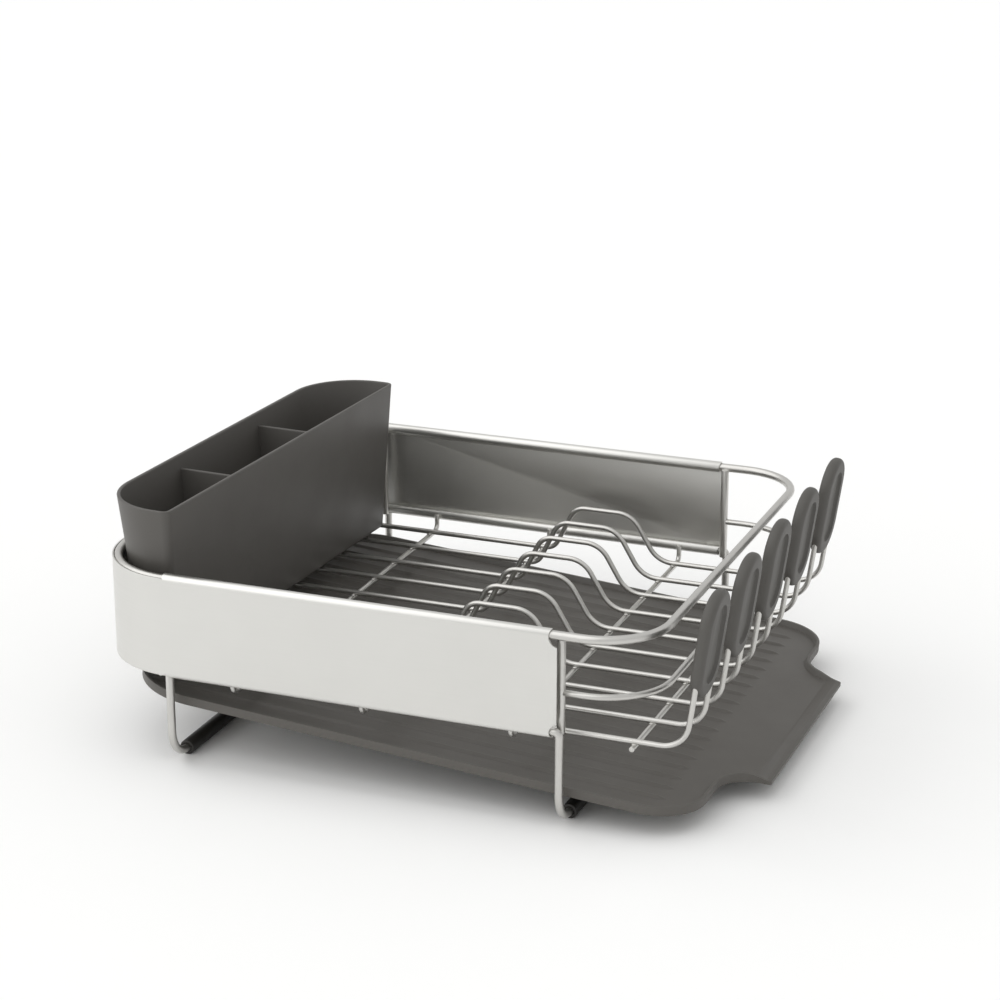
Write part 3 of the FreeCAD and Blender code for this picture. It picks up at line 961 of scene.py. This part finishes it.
boardTray = {
    "floor": 2.2,
    "lip": 5.4,
    "lipTop": 1.6,
    "lipSlope": 1.8,
    "lipRound": 0.75,
    "lipRoundSteps": 3,
    "spoutLength": 26.0,
    "spoutWidth": 158.0,
    # plan radius and steps of each bend in the outline
    "leftCorner": (50.0, 18),
    "rightCorner": (32.0, 18),
    "throat": (22.0, 14),
    "tipCorner": (2.0, 4),
    "lipRun": 16.0,  # over which the lip runs out at the spout's tip
    "lipRunSteps": 8,
    "underTip": 10.2,
    "ribPitch": 14.4,
    "ribWidth": 6.0,
    "ribHeight": 1.3,
    "ribSink": 0.05,
    "ribSteps": 8,
    "ribCurve": 1.5,  # higher makes a sharper crest
    "ribFade": 6.0,
    "ribFadeSteps": 4,
    "ribFadeCurve": 1.2,
    "ribNarrowing": 0.08,
    "ribEnd": 20.0,  # spout side of the tray to the ribs' ends
    "ribStart": 16.0,
    "runnerSpread": 92.0,
    "runnerWidth": 3.0,
    "runnerLeft": -154.2,
    "runnerRight": 109.8,
    "runnerRound": 0.6,
    "runnerSteps": 2,
    "smoothTo": 40.0,
}


def addRib(shape, x0, x1, y):
    half = mm(boardTray["ribWidth"]) / 2
    fade = mm(boardTray["ribFade"])
    steps = boardTray["ribFadeSteps"]
    base = mm(boardTray["floor"] - boardTray["ribSink"])
    place = Matrix.Translation(((x0 + x1) / 2, y, base))
    size = Matrix.Diagonal(((x1 - x0) / 2 - fade, half, 1, 1))
    crest = bmesh.ops.create_grid(
        shape, x_segments=2, y_segments=boardTray["ribSteps"], size=1, matrix=place @ size)["verts"]
    for v in crest:
        rise = max(0, math.cos((v.co.y - y) / half * math.pi / 2)) ** boardTray["ribCurve"]
        v.co.z += mm(boardTray["ribHeight"]) * rise
    for end, way in ((x0 + fade, -1), (x1 - fade, 1)):
        row = edgesAmong([v for v in crest if abs(v.co.x - end) < samePlace])
        last = 1
        for step in range(1, steps + 1):
            now = max(0, math.cos(step / steps * math.pi / 2)) ** boardTray["ribFadeCurve"]
            row = fedOn(shape, row, Vector((way * fade / steps, 0, 0)))
            bmesh.ops.scale(
                shape, verts=vertsOf(row), vec=(1, 1 - boardTray["ribNarrowing"] * step, now / last),
                space=Matrix.Translation((0, -y, -base)),
            )
            last = now


def makeBoard():
    low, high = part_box("drainboard")
    lip, floor, under = (mm(boardTray[key]) for key in ("lip", "floor", "underTip"))
    span = high.x - low.x
    slope = (high.z - under - lip) / span
    tilt = math.atan(slope)
    length = span / math.cos(tilt)
    halfWide = (high.y - low.y) / 2
    neck = mm(boardTray["spoutLength"])
    spout = mm(boardTray["spoutWidth"]) / 2
    shape = bmesh.new()
    around = (
        (-length, -halfWide), (-neck, -halfWide), (-neck, -spout), (0, -spout),
        (0, spout), (-neck, spout), (-neck, halfWide), (-length, halfWide),
    )
    corners = [shape.verts.new((x, y, lip)) for x, y in around]
    shape.faces.new(corners)
    for bend, first in (("leftCorner", 0), ("rightCorner", 1), ("throat", 2), ("tipCorner", 3)):
        spots = [Vector((*around[i], lip)) for i in (first, 7 - first)]
        found = [v for v in shape.verts if any((v.co - s).length < samePlace for s in spots)]
        size, steps = boardTray[bend]
        roundCorner(shape, found, mm(size), steps)
    tray = onlyFaceUp(shape)
    bmesh.ops.inset_region(
        shape, faces=[tray], thickness=mm(boardTray["lipTop"]), use_even_offset=True, use_boundary=True)
    bmesh.ops.inset_region(
        shape, faces=[tray], thickness=mm(boardTray["lipSlope"]),
        depth=-(lip - floor), use_even_offset=True)
    made = bmesh.ops.extrude_edge_only(shape, edges=boundaryOf(shape))["geom"]
    skirt = onlyVerts(made)
    bmesh.ops.translate(shape, verts=skirt, vec=(0, 0, -lip))
    bmesh.ops.contextual_create(shape, geom=edgesAmong(skirt))
    bmesh.ops.recalc_face_normals(shape, faces=shape.faces)
    outer = [e for e in sharpEdges(shape) if abs(e.verts[0].co.z - floor) > samePlace]
    roundEdges(shape, outer, mm(boardTray["lipRound"]), boardTray["lipRoundSteps"])
    lipRun = mm(boardTray["lipRun"])
    for step in range(1, boardTray["lipRunSteps"] + 1):
        cutAcross(shape, (-lipRun * step / boardTray["lipRunSteps"], 0, 0), (1, 0, 0))
    for v in shape.verts:  # the lip sinks to the floor in a soft curve at the spout
        back = min(1, -v.co.x / lipRun)
        v.co.z = min(v.co.z, floor + (lip - floor) * back * back * (3 - 2 * back))
    room = halfWide - mm(boardTray["ribStart"])
    count = int(room / mm(boardTray["ribPitch"]))
    for number in range(-count, count + 1):
        x0 = -length + mm(boardTray["ribStart"])
        x1 = -neck - mm(boardTray["ribEnd"])
        addRib(shape, x0, x1, number * mm(boardTray["ribPitch"]))
    place = Matrix.Translation((high.x, 0, under)) @ Matrix.Translation((0, 0, floor))
    turn = Matrix.Rotation(tilt, 4, "Y") @ Matrix.Translation((0, 0, -floor))
    bmesh.ops.transform(shape, verts=shape.verts, matrix=place @ turn)
    for side in (-1, 1):
        addRunner(shape, side * mm(boardTray["runnerSpread"]) / 2, low.z, high.x, under, slope)
    board = makePiece(shape, "drainTray", boardPlastic, boardTray["smoothTo"])
    standFor(board, "drainboard", "board_plastic", "drainboard")


def addRunner(shape, y, bottom, tipX, under, slope):
    left, right = mm(boardTray["runnerLeft"]), mm(boardTray["runnerRight"])
    root = under + mm(boardTray["floor"]) / 2
    outline = (
        (left, bottom), (right, bottom),
        (right, root + (tipX - right) * slope), (left, root + (tipX - left) * slope),
    )
    size = mm(boardTray["runnerRound"])
    addSlab(shape, outline, y, mm(boardTray["runnerWidth"]), bottom, size, boardTray["runnerSteps"])


makeBoard()
print("drainboard made")
